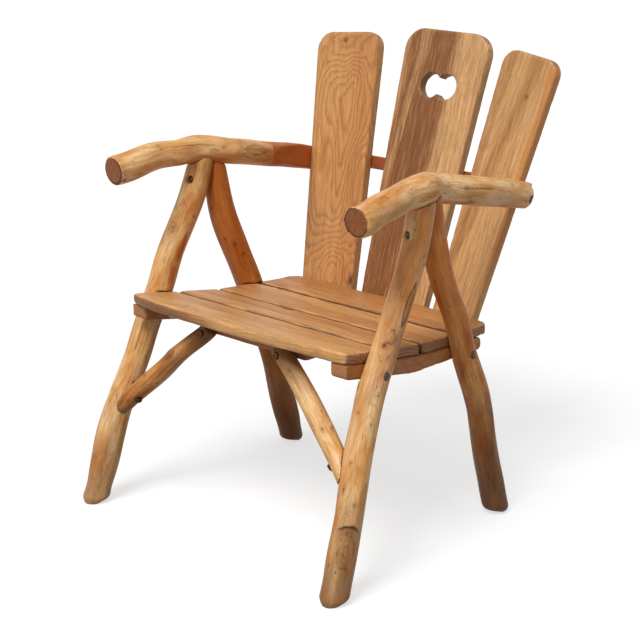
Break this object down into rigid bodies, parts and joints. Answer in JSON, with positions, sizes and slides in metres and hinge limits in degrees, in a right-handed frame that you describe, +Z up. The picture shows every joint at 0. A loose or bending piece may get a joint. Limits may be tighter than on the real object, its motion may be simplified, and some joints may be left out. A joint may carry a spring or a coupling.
{
  "type": "twig armchair",
  "caption": "Rustic armchair of peeled branches with a slatted board seat and three fanned, leaning back boards, the middle one with a grip hole.",
  "frame": {"origin": "on the floor, below the middle of the chair's bounding box", "axes": "+Z up, the sitter faces -Y, +X to the sitter's left (right in a front view)"},
  "size_m": [0.7182, 0.7376, 0.9121],
  "materials": {
    "branch_wood": "satin",
    "sawn_wood": "satin",
    "zinc_steel": "satin"
  },
  "bodies": {
    "root": {"left_front_leg": "branch_wood", "right_front_leg": "branch_wood", "left_rear_leg": "branch_wood", "right_rear_leg": "branch_wood", "left_arm": "branch_wood", "right_arm": "branch_wood", "left_brace": "branch_wood", "right_brace": "branch_wood", "left_side_rail": "sawn_wood", "right_side_rail": "sawn_wood", "seat_board_1": "sawn_wood", "seat_board_2": "sawn_wood", "seat_board_3": "sawn_wood", "seat_board_4": "sawn_wood", "left_back_board": "sawn_wood", "centre_back_board": "sawn_wood", "right_back_board": "sawn_wood", "upper_back_rail": "sawn_wood", "lower_back_rail": "sawn_wood", "front_cleat": "sawn_wood", "arm_dowels": "sawn_wood", "rail_bolts": "zinc_steel", "rail_washers": "zinc_steel", "rail_nuts": "zinc_steel", "leg_joint_bolts": "zinc_steel", "leg_joint_washers": "zinc_steel", "leg_joint_nuts": "zinc_steel", "arm_coach_screws": "zinc_steel", "brace_top_screws": "zinc_steel", "brace_foot_screws": "zinc_steel", "seat_screws": "zinc_steel", "cleat_screws": "zinc_steel", "lower_rail_screws": "zinc_steel", "back_upper_screws": "zinc_steel", "back_lower_screws": "zinc_steel"}
  },
  "joints": []
}
